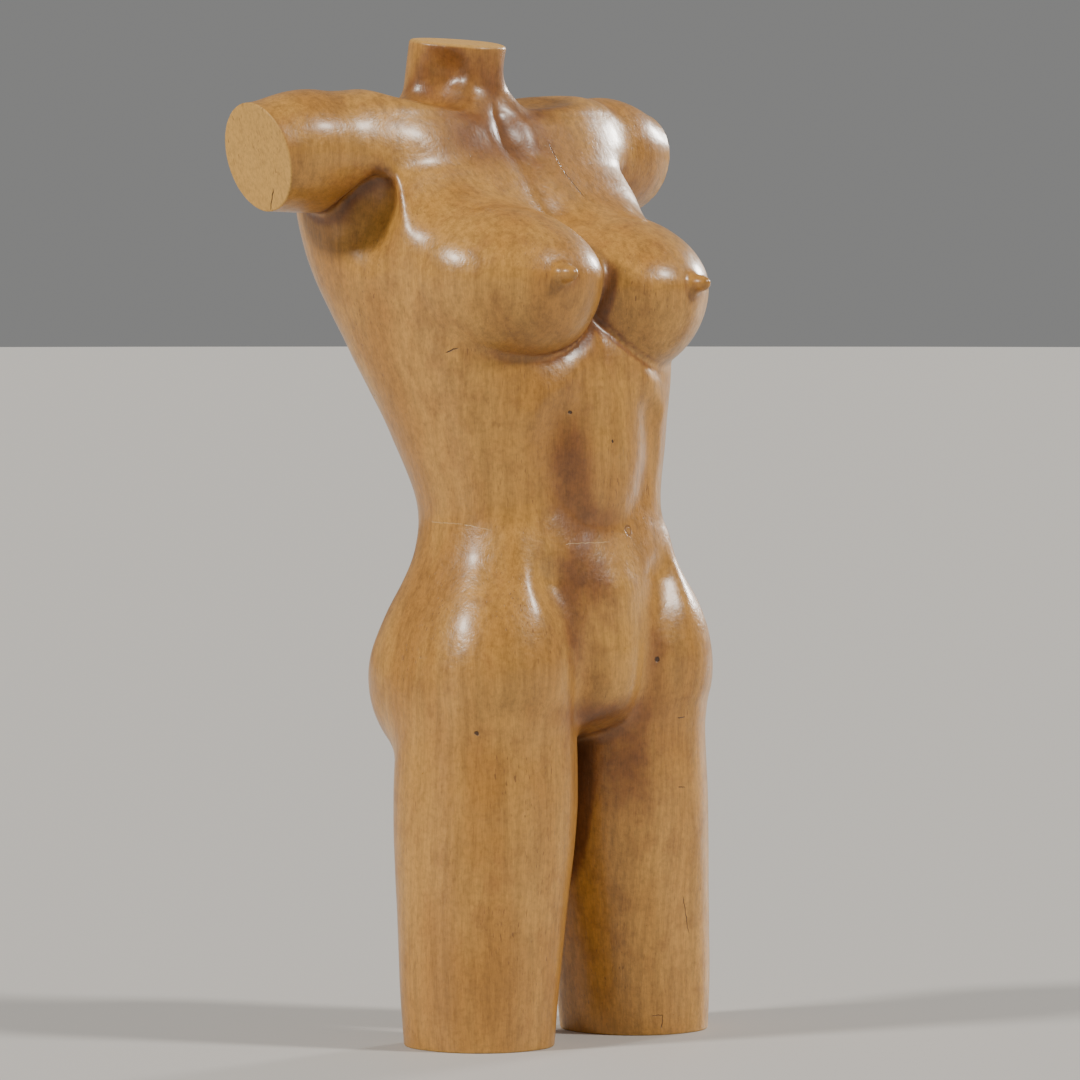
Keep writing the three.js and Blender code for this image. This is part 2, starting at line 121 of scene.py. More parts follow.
# (rise, width, line in x and z): shallow touches on the front and on the back.
FRONT_TOUCHES = (
    (-0.6, 6, ((0, 350), (0, 310))),
    (1.6, 20, ((0, 330), (0, 280))),
    (-3.2, 10, ((34, 312), (33, 290), (27, 270), (15, 259), (0, 257))),
    (2.3, 8, ((4, 350), (24, 337), (44, 314))),
    (5, 16, ((0, 224), (0, 184))),
    (-6.2, 11.5, ((38, 228), (34, 205), (30, 188), (25, 168))),
    (1.6, 8, ((55, 250), (52, 214))),
    (-2.5, 10, ((0, 456), (0, 405))),
)
BACK_TOUCHES = (
    (-3.5, 7, ((0, 440), (0, 235))),
    (2.5, 17, ((44, 412), (38, 378))),
    (-1.5, 9, ((17, 232), (15, 226))),
)
TOUCH_FADE = 12
THIGH_CREASE = (-0.8, 5, ((46, 165), (74, 168)))
THIGH_CREASE_FADE = 14

FORM_BOX = ((-152, 152), (-70, 136), (-16, 514))
OVERCUT = 12
OVERCUT_ROUNDING = 4

# ---- Small maths on whole arrays ----


def fade(value, start, end):
    """Nothing before start, one after end, and 3t^2 - 2t^3 between them."""
    t = np.clip((value - start) / (end - start), 0, 1)
    return t * t * (3 - 2 * t)


def rounded_min(a, b, width):
    """The smaller value, with the corner where the two meet rounded by a parabola over width."""
    h = np.clip(0.5 + 0.5 * (b - a) / width, 0, 1)
    return b + (a - b) * h - width * h * (1 - h)


def rounded_max(a, b, width):
    """The larger value, with its corner rounded in the same way."""
    return -rounded_min(-a, -b, width)


def length(*parts):
    """The root of the sum of the squares."""
    return np.sqrt(sum(part * part for part in parts))


def width_at(height, blend):
    """The width of a blend that changes with height."""
    return blend["below"] + (blend["above"] - blend["below"]) * fade(height, blend["from"], blend["to"])


def read_sections(rows, height):
    """Every column of a table at the given heights: a cubic between rows that leaves each row at
    the weighted mean of the slopes on its two sides."""
    levels, values = rows[:, 0], rows[:, 1:]
    gaps = np.diff(levels)[:, None]
    rates = np.diff(values, axis=0) / gaps
    inner = (rates[:-1] * gaps[1:] + rates[1:] * gaps[:-1]) / (gaps[:-1] + gaps[1:])
    slopes = np.vstack([rates[:1], inner, rates[-1:]])
    z = np.clip(height, levels[0], levels[-1])
    row = np.clip(np.searchsorted(levels, z) - 1, 0, len(levels) - 2)
    gap = gaps[row, 0]
    t = (z - levels[row]) / gap
    start, leave = 2 * t**3 - 3 * t**2 + 1, (t**3 - 2 * t**2 + t) * gap
    end, arrive = 3 * t**2 - 2 * t**3, (t**3 - t**2) * gap
    return [
        start * values[row, column] + leave * slopes[row, column]
        + end * values[row + 1, column] + arrive * slopes[row + 1, column]
        for column in range(values.shape[1])
    ]


# ---- Forms: the rough distance from each point, negative inside ----


def oval(x, y, half_width, half_depth, squareness):
    """(|x/a|^n + |y/b|^n)^(1/n) - 1, divided by its own steepness so that it reads as a distance."""
    u, v = np.abs(x) / half_width, np.abs(y) / half_depth
    size = (u**squareness + v**squareness + 1e-12) ** (1 / squareness)
    steepness = length(u ** (squareness - 1) / half_width, v ** (squareness - 1) / half_depth)
    return (size - 1) / (steepness * size ** (1 - squareness))


def ellipsoid(x, y, z, shape):
    """k(k - 1)/g, where k is the point's distance measured in radii and g is k's steepness."""
    radii = shape["radii"]
    parts = [(p - c) / r for p, c, r in zip((x, y, z), shape["at"], radii)]
    near = length(*parts) + 1e-6
    return near * (near - 1) / (length(*(part / r for part, r in zip(parts, radii))) + 1e-9)


def rod(x, y, z, start, end, radii, reaches, roundings):
    """A cone round the line from start to end that reaches past both. Its two flat ends have
    rims rounded over the roundings."""
    start, end = np.array(start, float), np.array(end, float)
    axis = end - start
    span = np.linalg.norm(axis)
    reach = (x - start[0], y - start[1], z - start[2])
    along = sum(r * a for r, a in zip(reach, axis)) / span
    across = np.sqrt(np.maximum(sum(r * r for r in reach) - along**2, 0))
    side = across - radii[0] - (radii[1] - radii[0]) * np.clip(along / span, 0, 1)
    form = rounded_max(side, -along - reaches[0], roundings[0])
    return rounded_max(form, along - span - reaches[1], roundings[1])


def cord_rod(x, y, z, shape):
    """A thin even rod, as under a tendon or a bone."""
    radii, reaches, roundings = ((shape[name],) * 2 for name in ("radius", "reach", "rounding"))
    return rod(x, y, z, shape["from"], shape["to"], radii, reaches, roundings)


def touch_rise(x, z, touch):
    """rise * exp(-(d/width)^2), where d is the distance in x and z from the touch's line."""
    rise, width, line = touch
    nearest = np.full_like(x, np.inf)
    for (x0, z0), (x1, z1) in zip(line, line[1:]):
        dx, dz = x1 - x0, z1 - z0
        t = np.clip(((x - x0) * dx + (z - z0) * dz) / (dx * dx + dz * dz), 0, 1)
        nearest = np.minimum(nearest, (x - x0 - t * dx) ** 2 + (z - z0 - t * dz) ** 2)
    return rise * np.exp(-nearest / width**2)


def trunk(x, y, z):
    """Ovals stacked up the height, cut under the shoulders, with the touches laid on the skin."""
    middle, half_width, front, back, squareness = read_sections(TRUNK_SECTIONS, z)
    depth = y - middle
    form = oval(x, depth, half_width, np.where(depth < 0, front, back), squareness)
    form = rounded_max(form, z - SHOULDER["height"], SHOULDER["rounding"])
    across = np.abs(x)
    form -= fade(-depth, 0, TOUCH_FADE) * sum(touch_rise(across, z, t) for t in FRONT_TOUCHES)
    form -= fade(depth, 0, TOUCH_FADE) * sum(touch_rise(across, z, t) for t in BACK_TOUCHES)
    back_slope, down_slope = BELLY_EDGE["normal"]
    underside = back_slope * (y - BELLY_EDGE["y"]) + down_slope * (z - BELLY_EDGE["z"])
    form = rounded_max(form, underside, BELLY_EDGE["rounding"])
    return rounded_max(form, CROTCH["height"] - z, CROTCH["rounding"])


def thigh(x, y, z):
    """The left thigh's ovals, with the hip and the buttock melted into it."""
    middle_x, middle_y, half_width, half_depth = read_sections(THIGH_SECTIONS, z)
    form = oval(x - middle_x, y - middle_y, half_width, half_depth, THIGH_SQUARENESS)
    form = rounded_max(form, z - THIGH_TOP["height"], THIGH_TOP["rounding"])
    form = rounded_min(form, ellipsoid(x, y, z, HIP), HIP["blend"])
    form = rounded_min(form, ellipsoid(x, y, z, BUTTOCK), BUTTOCK["blend"])
    return form - touch_rise(x, z, THIGH_CREASE) * fade(-y, 0, THIGH_CREASE_FADE)


def add_arm(body, x, y, z, build):
    """The cut upper arm and the shoulder muscle, hollowed underneath, melted into the body. The
    armpit leans towards the neck as it rises."""
    lifted = z - build["arm_lift"]
    radius = build["arm_radius"]
    leaning = x + ARMPIT["lean"] * (lifted - ARMPIT["at"][2])
    hollow = ellipsoid(leaning, y, lifted, ARMPIT)
    radii, reaches = (radius, radius - ARM["taper"]), (ARM["root_reach"], OVERCUT)
    roundings = (ARM["root_rounding"], OVERCUT_ROUNDING)
    straight = rod(x, y, lifted, ARM["root"], ARM["end"], radii, reaches, roundings)
    hollowed = rounded_max(straight, -hollow, ARMPIT["blend"])
    deltoid = rounded_max(ellipsoid(x, y, lifted, DELTOID), -hollow, ARMPIT["blend"])
    arm = rounded_min(hollowed, deltoid, DELTOID["blend"])
    scooped = rounded_max(body, -ellipsoid(x, y, z, SIDE_HOLLOW), width_at(z, SIDE_HOLLOW_BLEND))
    return rounded_min(scooped, arm, width_at(z, ARM_BLEND))


def add_neck(body, x, y, z):
    """The neck's cone and its two front tendons."""
    radii, roundings = (NECK["root_radius"], NECK["top_radius"]), (NECK["rounding"], OVERCUT_ROUNDING)
    column = rod(x, y, z, NECK["root"], NECK["top"], radii, (0, OVERCUT), roundings)
    neck = rounded_min(column, cord_rod(np.abs(x), y, z, NECK_TENDON), NECK_TENDON["blend"])
    return rounded_min(body, neck, NECK["blend"])


def add_collarbone(body, x, y, z):
    """A rod melted into the chest, with a hollow scooped out above it."""
    ridged = rounded_min(body, cord_rod(x, y, z, COLLARBONE), COLLARBONE["blend"])
    return rounded_max(ridged, -ellipsoid(x, y, z, COLLAR_HOLLOW), COLLAR_HOLLOW["blend"])


def add_breast(body, x, y, z, build):
    """Two balls side by side, changed by shares of h^2/(h + softness), where h is the height
    above or below their middle: flatter and drawn back above, and hanging a little below."""
    hangs = BREAST_HANG
    lift = build["breast_lift"]
    height = z - BREAST["at"][2] - lift
    share = height**2 / (np.abs(height) + hangs["softness"])
    lean, hang = np.where(height > 0, share, 0), np.where(height < 0, share, 0)
    rise = height + hangs["flatter"] * lean + hangs["lower_flatter"] * hang

    def ball(at, radius):
        aside, back = at[0] + hangs["outwards"] * lean, at[1] + hangs["backwards"] * lean
        return length(x - aside, y - back, rise) - radius

    first, second = ball(BREAST["at"], BREAST["radius"]), ball(BREAST["side_at"], BREAST["side_radius"])
    breast = rounded_min(first, second, BREAST["blend"])
    breast = rounded_min(breast, ellipsoid(x, y, z - lift, NIPPLE), NIPPLE["blend"])
    return rounded_min(body, breast, width_at(height, BREAST_BLEND))


def body_form(points):
    """The whole body's form at an array of points: rounded unions of all its parts."""
    x, y, z = points.T
    thighs = rounded_min(thigh(x, y, z), thigh(-x, y, z), BETWEEN_THIGHS_BLEND)
    form = rounded_min(trunk(x, y, z), thighs, width_at(z, THIGH_BLEND))
    for build in SIDES:
        form = add_arm(form, x * build["side"], y, z, build)
    form = add_neck(form, x, y, z)
    form = add_collarbone(form, np.abs(x), y, z)
    for build in SIDES:
        form = add_breast(form, x * build["side"], y, z, build)
    return rounded_max(form, -z - OVERCUT, OVERCUT_ROUNDING)


def steepest(form, points):
    """The form's gradient at each point, from differences over half a millimetre."""
    reach = 0.25
    columns = []
    for axis in np.eye(3):
        columns.append((form(points + reach * axis) - form(points - reach * axis)) / (2 * reach))
    return np.stack(columns, axis=1)


# ---- From the form to a skin of triangles ----


def sample_near_skin(form, lines):
    """The form on a grid: exact wherever a coarse grid says that the skin may be near, and only
    its sign elsewhere."""
    block = 4
    counts = [len(line) for line in lines]
    middles = [line[: len(line) - len(line) % block].reshape(-1, block).mean(axis=1) for line in lines]
    coarse = np.stack(np.meshgrid(*middles, indexing="ij"), axis=-1)
    blocks = form(coarse.reshape(-1, 3)).reshape(coarse.shape[:3])
    for axis in range(3):
        blocks = np.repeat(blocks, block, axis=axis)
    values = np.full(counts, 1e3)
    values[tuple(slice(0, n) for n in blocks.shape)] = np.where(blocks > 0, 1e3, -1e3)
    near = np.zeros(counts, bool)
    reach = 1.6 * block * (lines[0][1] - lines[0][0])
    near[tuple(slice(0, n) for n in blocks.shape)] = np.abs(blocks) < reach
    i, j, k = np.nonzero(near)
    values[i, j, k] = form(np.stack([lines[0][i], lines[1][j], lines[2][k]], axis=1))
    return values


def open_creases(values):
    """Where the skin would pass twice through one face of a cell, the corner nearest to the skin
    changes sides, so that no edge is shared by four triangles."""
    barely_off = 0.01
    for _ in range(20):
        changed = 0
        for p, q in ((0, 1), (1, 2), (0, 2)):
            size = [n - (axis in (p, q)) for axis, n in enumerate(values.shape)]
            corners = []
            for step_p, step_q in ((0, 0), (1, 0), (1, 1), (0, 1)):
                start = [step_p * (axis == p) + step_q * (axis == q) for axis in range(3)]
                corners.append(values[tuple(slice(s, s + n) for s, n in zip(start, size))])
            a, b, c, d = (corner < 0 for corner in corners)
            i, j, k = np.nonzero((a == c) & (b == d) & (a != b))
            if len(i) == 0:
                continue
            nearest = np.argmin([np.abs(corner[i, j, k]) for corner in corners], axis=0)
            place = [i, j, k]
            place[p] = place[p] + np.array([0, 1, 1, 0])[nearest]
            place[q] = place[q] + np.array([0, 0, 1, 1])[nearest]
            place = tuple(place)
            values[place] = np.where(values[place] < 0, barely_off, -barely_off)
            changed += len(i)
        if changed == 0:
            return


def skin_of(form, box, cell):
    """Surface nets: one vertex in each grid cell that the skin passes through, at the middle of
    the places where it crosses the cell's edges, and a pair of triangles across each grid edge
    that it crosses, split along the shorter diagonal."""
    lines = [np.arange(low, high + cell, cell) for low, high in box]
    values = sample_near_skin(form, lines)
    open_creases(values)
    shape = np.array(values.shape)
    inside = values < 0
    crossings, rings = [], []
    for axis, p, q in ((0, 1, 2), (1, 2, 0), (2, 0, 1)):
        ahead = [slice(1, None) if n == axis else slice(None) for n in range(3)]
        behind = [slice(None, -1) if n == axis else slice(None) for n in range(3)]
        start = np.stack(np.nonzero(inside[tuple(ahead)] != inside[tuple(behind)]), axis=1)
        end = start + np.eye(3, dtype=int)[axis]
        first, second = values[tuple(start.T)], values[tuple(end.T)]
        crossing = start.astype(float)
        crossing[:, axis] += first / (first - second)
        back_p, back_q = -np.eye(3, dtype=int)[p], -np.eye(3, dtype=int)[q]
        around = np.stack([start + back_p + back_q, start + back_q, start, start + back_p], axis=1)
        ids = np.ravel_multi_index(tuple(around.reshape(-1, 3).T), shape).reshape(-1, 4)
        outward = first >= 0
        ids[outward] = ids[outward][:, ::-1]
        rings.append(ids)
        crossings.append(crossing)
    rings = np.concatenate(rings)
    crossings = np.repeat(np.concatenate(crossings), 4, axis=0)
    _, cells = np.unique(rings, return_inverse=True)
    cells = cells.reshape(-1)
    shares = np.bincount(cells)
    points = np.stack([np.bincount(cells, crossings[:, n]) / shares for n in range(3)], axis=1)
    points = points * cell + np.array([line[0] for line in lines])
    return points, cells.reshape(-1, 4)


def settle(form, points, passes):
    """Moves each point onto the skin: p - f g / |g|^2, a few times over."""
    for _ in range(passes):
        slope = steepest(form, points)
        move = form(points) / np.maximum((slope**2).sum(axis=1), 0.2)
        points = points - np.clip(move, -3, 3)[:, None] * slope
    return points


def even_out(form, points, rings, rounds):
    """Slides each point halfway to the middle of its neighbours, along the skin only."""
    starts = rings.reshape(-1)
    ends = np.roll(rings, -1, axis=1).reshape(-1)
    number = len(points)
    shares = np.bincount(starts, minlength=number) + np.bincount(ends, minlength=number)
    for _ in range(rounds):
        total = np.stack([
            np.bincount(starts, points[ends, n], number) + np.bincount(ends, points[starts, n], number)
            for n in range(3)
        ], axis=1)
        move = 0.5 * (total / shares[:, None] - points)
        slope = steepest(form, points)
        normal = slope / np.linalg.norm(slope, axis=1, keepdims=True)
        points = points + move - (move * normal).sum(axis=1, keepdims=True) * normal
        points = settle(form, points, 1)
    return points


def split_rings(points, rings):
    """Two triangles for each ring of four, cut along its shorter diagonal."""
    first = np.linalg.norm(points[rings[:, 0]] - points[rings[:, 2]], axis=1)
    second = np.linalg.norm(points[rings[:, 1]] - points[rings[:, 3]], axis=1)
    rings = np.where((first > second)[:, None], np.roll(rings, -1, axis=1), rings)
    return np.concatenate([rings[:, [0, 1, 2]], rings[:, [0, 2, 3]]])


# ---- The five flat ends ----


def flat_ends():
    """Each end's middle, its outward direction, its rim's radius, and which side it is on."""
    back, down = math.radians(ARM["back_turn"]), math.radians(ARM["down_turn"])
    ends = []
    for build in SIDES:
        side = build["side"]
        x, y, z = ARM["end"]
        outward = (side * math.cos(back) * math.cos(down), math.sin(back) * math.cos(down), -math.sin(down))
        ends.append(((side * x, y, z + build["arm_lift"]), outward, 0.9, side))
    ends.append((NECK["top"], (0, -NECK["tilt"], 1), 2.2, 0))
    for build in SIDES:
        foot = THIGH_SECTIONS[0]
        ends.append(((build["side"] * foot[1], foot[2], 0), (0, 0, -1), 1.3, build["side"]))
    return ends


def waver(points, size, seed):
    """Five slow sine waves in seeded directions, added up to stay between -1 and 1."""
    chance = np.random.default_rng(seed)
    total = 0
    for _ in range(5):
        direction = chance.normal(size=3)
        direction *= 2 * math.pi / (size * chance.uniform(0.7, 1.4) * np.linalg.norm(direction))
        total = total + np.sin(points @ direction + chance.uniform(0, 2 * math.pi))
    return total / 5


def near_end(points, middle, side):
    """Which points are within 60 mm of an end's middle, on the end's own side."""
    return (np.linalg.norm(points - np.array(middle), axis=1) < 60) & (points[:, 0] * side >= 0)


def cut_skin(points, triangles, cell):
    """Cuts the skin open a rim's radius short of each flat end. Points that lie near a cut are
    first slid onto it, so that no slivers are left."""
    cuts = []
    for middle, outward, rim, side in flat_ends():
        normal = np.array(outward) / np.linalg.norm(outward)
        start = np.array(middle) - normal * rim
        gap = (points - start) @ normal
        near = (np.abs(gap) < 0.3 * cell) & near_end(points, middle, side)
        points[near] -= gap[near, None] * normal
        cuts.append((start, normal, middle, side))
    mesh = bpy.data.meshes.new("skin")
    mesh.from_pydata(points.tolist(), [], triangles.tolist())
    bm = bmesh.new()
    bm.from_mesh(mesh)
    bm.verts.ensure_lookup_table()
    bpy.data.meshes.remove(mesh)
    for start, normal, middle, side in cuts:
        places = np.array([vert.co for vert in bm.verts])
        verts = [bm.verts[n] for n in np.flatnonzero(near_end(places, middle, side))]
        edges = {edge for vert in verts for edge in vert.link_edges}
        faces = {face for vert in verts for face in vert.link_faces}
        bmesh.ops.bisect_plane(
            bm, geom=verts + list(edges) + list(faces), dist=1e-4,
            plane_co=start, plane_no=normal, clear_outer=True,
        )
        bm.verts.ensure_lookup_table()
    bmesh.ops.triangulate(bm, faces=bm.faces[:])
    mesh = bpy.data.meshes.new("skin")
    bm.to_mesh(mesh)
    bm.free()
    points = np.empty(len(mesh.vertices) * 3)
    mesh.vertices.foreach_get("co", points)
    triangles = np.empty(len(mesh.polygons) * 3, int)
    mesh.polygons.foreach_get("vertices", triangles)
    bpy.data.meshes.remove(mesh)
    return points.reshape(-1, 3), triangles.reshape(-1, 3)


def close_end(points, triangles, end, seed):
    """Closes one end: a quarter-round rim swept inwards from the cut's loop by r(1 - cos a) while
    it moves outwards by r sin a, and then rings that shrink to the middle of a face that is very
    slightly uneven, as a sawn and scraped face is. Both are grids of loop by ring."""
    middle, outward, rim, side = end
    normal = np.array(outward) / np.linalg.norm(outward)
    start = np.array(middle) - normal * rim
    edges = np.sort(np.concatenate([triangles[:, [0, 1]], triangles[:, [1, 2]], triangles[:, [2, 0]]]), axis=1)
    edges, uses = np.unique(edges, axis=0, return_counts=True)
    open_points = np.unique(edges[uses == 1])
    flat = np.abs((points[open_points] - start) @ normal) < 1e-2
    loop = open_points[flat & (points[open_points, 0] * side >= 0)]

    centre = points[loop].mean(axis=0)
    right = np.cross(normal, (0.3, 0.9, 0.2))
    right /= np.linalg.norm(right)
    up = np.cross(normal, right)
    spoke = points[loop] - centre
    loop = loop[np.argsort(np.arctan2(spoke @ up, spoke @ right))]
    border = points[loop]
    tangent = np.roll(border, -1, axis=0) - np.roll(border, 1, axis=0)
    aside = np.cross(tangent, normal)
    aside /= np.linalg.norm(aside, axis=1, keepdims=True)

    turn = np.radians(np.array([18, 36, 54, 72, 90]))
    rim_rings = (
        border[None]
        + (rim * np.sin(turn))[:, None, None] * normal
        - (rim * (1 - np.cos(turn)))[:, None, None] * aside[None]
    )
    last = rim_rings[-1]
    centre = last.mean(axis=0)
    share = np.concatenate([[0.985, 0.955], np.linspace(0.9, 0.08, 12)])
    face_rings = centre + (last[None] - centre) * share[:, None, None]
    rings = np.concatenate([rim_rings, face_rings])
    dip = 0.12 * fade(1 - share, 0.02, 0.3)[:, None] * (1 + waver(face_rings, 17, seed))
    rings[len(turn):] -= dip[..., None] * normal

    count = len(loop)
    new = len(points) + np.arange(rings.shape[0] * count).reshape(-1, count)
    grid = np.vstack([loop, new])
    a, b = grid[:-1], grid[1:]
    c, d = np.roll(b, -1, axis=1), np.roll(a, -1, axis=1)
    strips = np.stack([np.stack([a, d, c], -1), np.stack([a, c, b], -1)]).reshape(-1, 3)
    tip = len(points) + rings.shape[0] * count
    fan = np.stack([grid[-1], np.roll(grid[-1], -1), np.full(count, tip)], axis=1)
    points = np.vstack([points, rings.reshape(-1, 3), rings[-1].mean(axis=0)])
    return points, np.vstack([triangles, strips, fan])


# ---- What the finish needs to know about each place ----

# Places painted darker: real stain at the neck and upper chest, and painted shadow and painted shade on the
# belly, under the breasts and arms, in the groin and between the thighs: (middle, reach in x, y and z,
# strength).
STAIN_AND_SHADE_PLACES = (
    # Neck base and upper chest: stain.
    ((-18, 34, 452), (34, 26, 17), 0.75),
    ((10, 30, 448), (22, 22, 20), 0.6),
    ((-12, 50, 482), (26, 26, 16), 0.55),
    ((14, 52, 476), (16, 22, 24), 0.6),
    # Belly and the grooves beside it: painted shadow of the breast and painted shade, with some stain.
    ((-24, -34, 283), (12, 26, 34), 0.85),
    ((-12, -36, 260), (20, 24, 9), 0.75),
    ((-18, -39, 234), (14, 24, 19), 0.8),
    ((-29, -40, 205), (8, 20, 24), 0.75),
    ((29, -40, 196), (8, 20, 22), 0.5),
    # Under the breasts, in the groin, between the thighs and under the arms: painted shade and painted shadow.
    ((-54, -26, 345), (34, 22, 7), 0.45),
    ((0, -22, 346), (14, 26, 20), 0.5),
    ((-6, -34, 164), (34, 26, 8), 0.8),
    ((20, -32, 140), (15, 20, 30), 0.7),
    ((0, 10, 142), (30, 44, 24), 0.7),
    ((-92, 48, 424), (16, 26, 16), 0.55),
    ((92, 48, 421), (16, 26, 16), 0.5),
    # Down the middle of the back: darker.
    ((0, 66, 200), (16, 40, 30), 0.45),
    ((0, 80, 330), (12, 40, 60), 0.3),
)


def places_on_skin(points, normal):
    """Four measures of each place on the skin. The hollow is how much less than its own distance a point 10 mm
    off the skin is away from the wood, the ridge is how much less deep one 6 mm under it lies, the
    stain-and-shade measure adds bells exp(-(d/reach)^2) for the listed places of real stain and of painted shade
    and painted shadow, and the end is one on the flat cuts."""
    off, under = 10, 6
    hollow = 1 - body_form(points + normal * off) / off
    ridge = 1 + body_form(points - normal * under) / under
    stain_and_shade = 0
    for middle, reach, strength in STAIN_AND_SHADE_PLACES:
        bell = strength * np.exp(-(((points - middle) / reach) ** 2).sum(axis=1))
        stain_and_shade = stain_and_shade + (1 - stain_and_shade) * bell
    end_face = np.zeros(len(points))
    for middle, outward, rim, _ in flat_ends():
        direction = np.array(outward) / np.linalg.norm(outward)
        gap = np.abs((points - np.array(middle)) @ direction)
        close = np.linalg.norm(points - np.array(middle), axis=1) < 60
        end_face = np.maximum(end_face, close * (1 - fade(gap, 0.35, 0.7 * rim + 0.3)))
    return {
        "hollow": np.clip(hollow, 0, 1),
        "ridge": np.clip(ridge, 0, 1),
        "stain_and_shade": stain_and_shade,
        "end_face": end_face,
    }


def carve_torso():
    """The finished carving as one closed mesh: the skin with its five ends, scaled and moved by
    at most a few tenths of a millimetre so that its box is the part's own box."""
    cell = 2.15
    points, rings = skin_of(body_form, FORM_BOX, cell)
    points = settle(body_form, points, 3)
    points = even_out(body_form, points, rings, 4)
    triangles = split_rings(points, rings)
    points, triangles = cut_skin(points, triangles, cell)
    skin_count = len(points)
    for seed, end in enumerate(flat_ends()):
        points, triangles = close_end(points, triangles, end, seed)

    slope = steepest(body_form, points)
    normal = slope / np.maximum(np.linalg.norm(slope, axis=1, keepdims=True), 1e-6)
    for middle, outward, _, _ in flat_ends():
        direction = np.array(outward) / np.linalg.norm(outward)
        flat = np.linalg.norm(points - np.array(middle), axis=1) < 60
        flat &= np.abs((points - np.array(middle)) @ direction) < 0.4
        flat[:skin_count] = False
        normal[flat] = direction
    measures = places_on_skin(points, normal)
    hand = np.arange(len(points)) < skin_count
    points = points + normal * (hand * 0.16 * waver(points, 26, 11) * (1 - measures["end_face"]))[:, None]

    low, high = (np.array(corner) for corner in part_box("torso"))
    own_low, own_high = points.min(axis=0), points.max(axis=0)
    points = low + (points - own_low) * ((high - low) / (own_high - own_low))
    mesh = bpy.data.meshes.new("carved_torso")
    mesh.from_pydata(points.tolist(), [], triangles.tolist())
    mesh.shade_smooth()
    for name, values in measures.items():
        layer = mesh.attributes.new(name, "FLOAT", "POINT")
        layer.data.foreach_set("value", values.astype(np.float32))
    piece = bpy.data.objects.new("carved_torso", mesh)
    bpy.context.scene.collection.objects.link(piece)
    return piece


# ---- Finishes ----


class Wire:
    """A socket of a finish's nodes. Arithmetic on it adds Math nodes."""

    def __init__(self, finish, socket):
        self.finish, self.socket = finish, socket

    def maths(self, operation, first, second):
        return self.finish.node("ShaderNodeMath", {"operation": operation}, {0: first, 1: second})

    def __add__(self, other):
        return self.maths("ADD", self, other)

    def __radd__(self, other):
        return self.maths("ADD", other, self)

    def __sub__(self, other):
        return self.maths("SUBTRACT", self, other)

    def __rsub__(self, other):
        return self.maths("SUBTRACT", other, self)

    def __mul__(self, other):
        return self.maths("MULTIPLY", self, other)

    def __rmul__(self, other):
        return self.maths("MULTIPLY", other, self)

    def other(self, name):
        """Another output of the same node."""
        return Wire(self.finish, self.socket.node.outputs[name])


class Finish:
    """A material made from nodes."""

    def __init__(self, name):
        self.material = bpy.data.materials.new(name)
        self.material.use_nodes = True
        self.tree = self.material.node_tree
        self.tree.nodes.clear()

    def node(self, kind, settings=None, inputs=None, output=0):
        """Adds a node of a kind, sets its settings and then its sockets' values or links."""
        made = self.tree.nodes.new(kind)
        for name, value in (settings or {}).items():
            setattr(made, name, value)
        for name, value in (inputs or {}).items():
            if isinstance(value, Wire):
                self.tree.links.new(value.socket, made.inputs[name])
            else:
                made.inputs[name].default_value = value
        return Wire(self, made.outputs[output]) if made.outputs else None

    def place(self):
        return self.node("ShaderNodeTexCoord", output="Object")

    def measure(self, name):
        return self.node("ShaderNodeAttribute", {"attribute_name": name}, output="Fac")

    def stretched(self, place, scale):
        """The place with its three axes scaled, for grain that runs one way."""
        return self.node("ShaderNodeMapping", {}, {"Vector": place, "Scale": scale})

    def noise(self, place, scale, detail=2.0, roughness=0.5, distortion=0.0):
        inputs = {
            "Vector": place, "Scale": scale, "Detail": detail,
            "Roughness": roughness, "Distortion": distortion,
        }
        return self.node("ShaderNodeTexNoise", {}, inputs, "Fac")

    def smooth(self, value, start, end):
        """Nothing before start, one after end, and a smooth step between."""
        settings = {"interpolation_type": "SMOOTHSTEP"}
        inputs = {"Value": value, "From Min": start, "From Max": end}
        return self.node("ShaderNodeMapRange", settings, inputs)

    def mix(self, amount, first, second):
        """Two colours mixed."""
        inputs = {0: amount, 6: first, 7: second}
        return self.node("ShaderNodeMix", {"data_type": "RGBA"}, inputs, 2)

    def grey(self, value):
        """A value as a shade from black to white."""
        return self.mix(value, (0, 0, 0, 1), (1, 1, 1, 1))

    def tint(self, amount, colour, shade):
        """A colour multiplied by a shade, as far as the amount says."""
        settings = {"data_type": "RGBA", "blend_type": "MULTIPLY"}
        return self.node("ShaderNodeMix", settings, {0: amount, 6: colour, 7: shade}, 2)

    def vector(self, operation, first, second):
        output = "Value" if operation in ("DOT_PRODUCT", "DISTANCE", "LENGTH") else "Vector"
        return self.node("ShaderNodeVectorMath", {"operation": operation}, {0: first, 1: second}, output)


def row_place(point):
    """A point of the carving's own dimensions, in millimetres, as a point of the part in metres."""
    middle = (np.array(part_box("torso")[0]) + np.array(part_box("torso")[1])) / 2
    return (point[0] / 1000, point[1] / 1000 + middle[1] - FORM_MIDDLE_Y / 1000, point[2] / 1000)


FORM_MIDDLE_Y = 33.5


def crack(finish, place, start, end, facing, width):
    """A fine split along the line from start to end on a part of the skin that faces that way:
    the distance from the plane through the line and the facing direction, within its length."""
    a, b = (np.array(row_place(p)) for p in (start, end))
    facing = np.array(facing) / np.linalg.norm(facing)
    along = b - a
    span = np.linalg.norm(along)
    along /= span
    across = np.cross(along, facing)
    across /= np.linalg.norm(across)
    reach = finish.vector("SUBTRACT", place, tuple(a))
    off = finish.vector("DOT_PRODUCT", reach, tuple(across))
    far = finish.vector("DOT_PRODUCT", reach, tuple(along))
    deep = finish.vector("DOT_PRODUCT", reach, tuple(facing))
    taper = width * 0.8
    inside = finish.smooth(far, -taper, span * 0.12) * finish.smooth(far, span + taper, span * 0.85)
    near = finish.smooth(off * off, (width * 0.5) ** 2, (width * 0.12) ** 2)
    return near * inside * finish.smooth(deep * deep, 0.012**2, 0.009**2)


